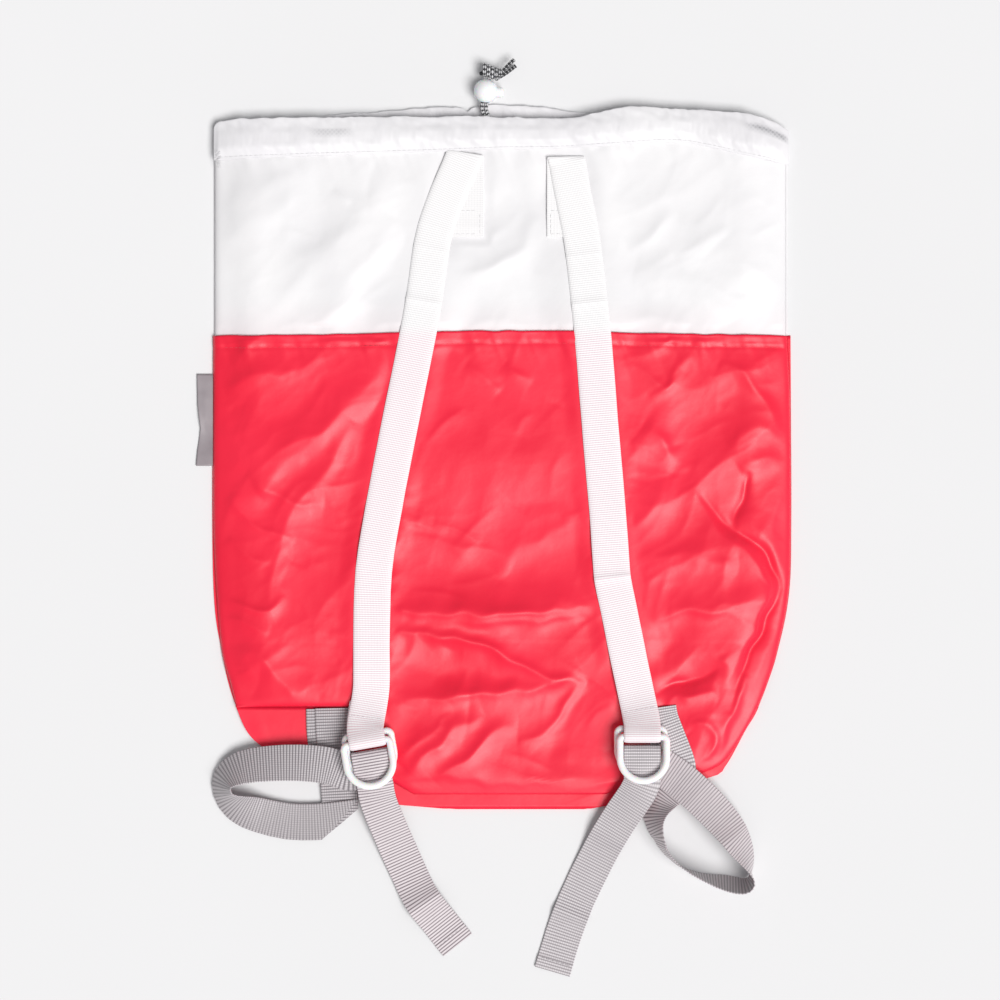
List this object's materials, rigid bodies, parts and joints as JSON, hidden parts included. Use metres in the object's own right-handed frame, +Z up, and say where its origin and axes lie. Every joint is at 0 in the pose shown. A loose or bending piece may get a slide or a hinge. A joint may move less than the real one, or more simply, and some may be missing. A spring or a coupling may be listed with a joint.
{
  "type": "drawstring bag",
  "caption": "Flat two-tone drawstring carry bag with a hemmed cord mouth, a cord lock, and two shoulder straps that each fasten to a webbing end through a pair of D-rings.",
  "frame": {"origin": "on the flat underside, midway between the side seams", "axes": "+Z up away from the surface the bag lies on, +Y along the bag towards its mouth, +X towards the right-hand side seam seen from the strap side"},
  "size_m": [0.4091, 0.63, 0.0262],
  "materials": {
    "white_nylon": "thin coated nylon, slightly see-through",
    "red_nylon": "thin coated nylon, soft sheen",
    "label_satin": "satin ribbon",
    "white_webbing": "ribbed woven webbing",
    "grey_webbing": "ribbed woven webbing, satin",
    "white_plastic": "moulded, smooth",
    "braided_cord": "black and white round braid",
    "spring_steel": "drawn wire",
    "pale_thread": "sewing thread",
    "red_thread": "sewing thread",
    "grey_thread": "sewing thread"
  },
  "bodies": {
    "bag": {"upper_front_panel": "white_nylon", "upper_back_panel": "white_nylon", "lower_front_panel": "red_nylon", "lower_back_panel": "red_nylon", "base_panel": "red_nylon", "front_hem_casing": "white_nylon", "back_hem_casing": "white_nylon", "side_label": "label_satin", "left_shoulder_strap": "white_webbing", "right_shoulder_strap": "white_webbing", "left_adjuster_strap": "grey_webbing", "right_adjuster_strap": "grey_webbing", "drawcord": "braided_cord", "left_neck_strand": "braided_cord", "right_neck_strand": "braided_cord", "drawcord_knot": "braided_cord", "cord_buttonhole": "pale_thread", "hem_stitching": "pale_thread", "panel_stitching": "red_thread", "anchor_stitching": "pale_thread", "loop_stitching": "pale_thread", "tail_stitching": "grey_thread"},
    "cord_lock": {"lock_body": "white_plastic", "lock_spring": "spring_steel"},
    "push_button": {"lock_button": "white_plastic"},
    "left_rear_ring": {"left_rear_ring": "white_plastic"},
    "left_front_ring": {"left_front_ring": "white_plastic"},
    "right_rear_ring": {"right_rear_ring": "white_plastic"},
    "right_front_ring": {"right_front_ring": "white_plastic"}
  },
  "joints": [
    {"name": "cord_lock_slide", "type": "slide", "parent": "bag", "child": "cord_lock", "axis": [-0.1045, -0.9945, 0], "range_m": [0, 0.003]},
    {"name": "lock_button_press", "type": "slide", "parent": "cord_lock", "child": "push_button", "axis": [-0.9945, 0.1045, 0], "range_m": [0, 0.002], "stiffness_N_per_m": 400, "springref_m": -0.002, "deforming": ["lock_spring"]},
    {"name": "left_rear_ring_rock", "type": "hinge", "parent": "bag", "child": "left_rear_ring", "pos_m": [-0.0913, -0.18585, 0.0154], "axis": [-0.9848, -0.1736, 0], "range_deg": [0, 1.2]},
    {"name": "left_front_ring_flip", "type": "hinge", "parent": "bag", "child": "left_front_ring", "pos_m": [-0.09178, -0.19121, 0.0207], "axis": [-0.9848, -0.1736, 0], "range_deg": [0, 85]},
    {"name": "right_rear_ring_rock", "type": "hinge", "parent": "bag", "child": "right_rear_ring", "pos_m": [0.0955, -0.1822, 0.0154], "axis": [-1, 0, 0], "range_deg": [0, 1.2]},
    {"name": "right_front_ring_flip", "type": "hinge", "parent": "bag", "child": "right_front_ring", "pos_m": [0.0969, -0.1874, 0.0207], "axis": [-1, 0, 0], "range_deg": [0, 85]}
  ]
}
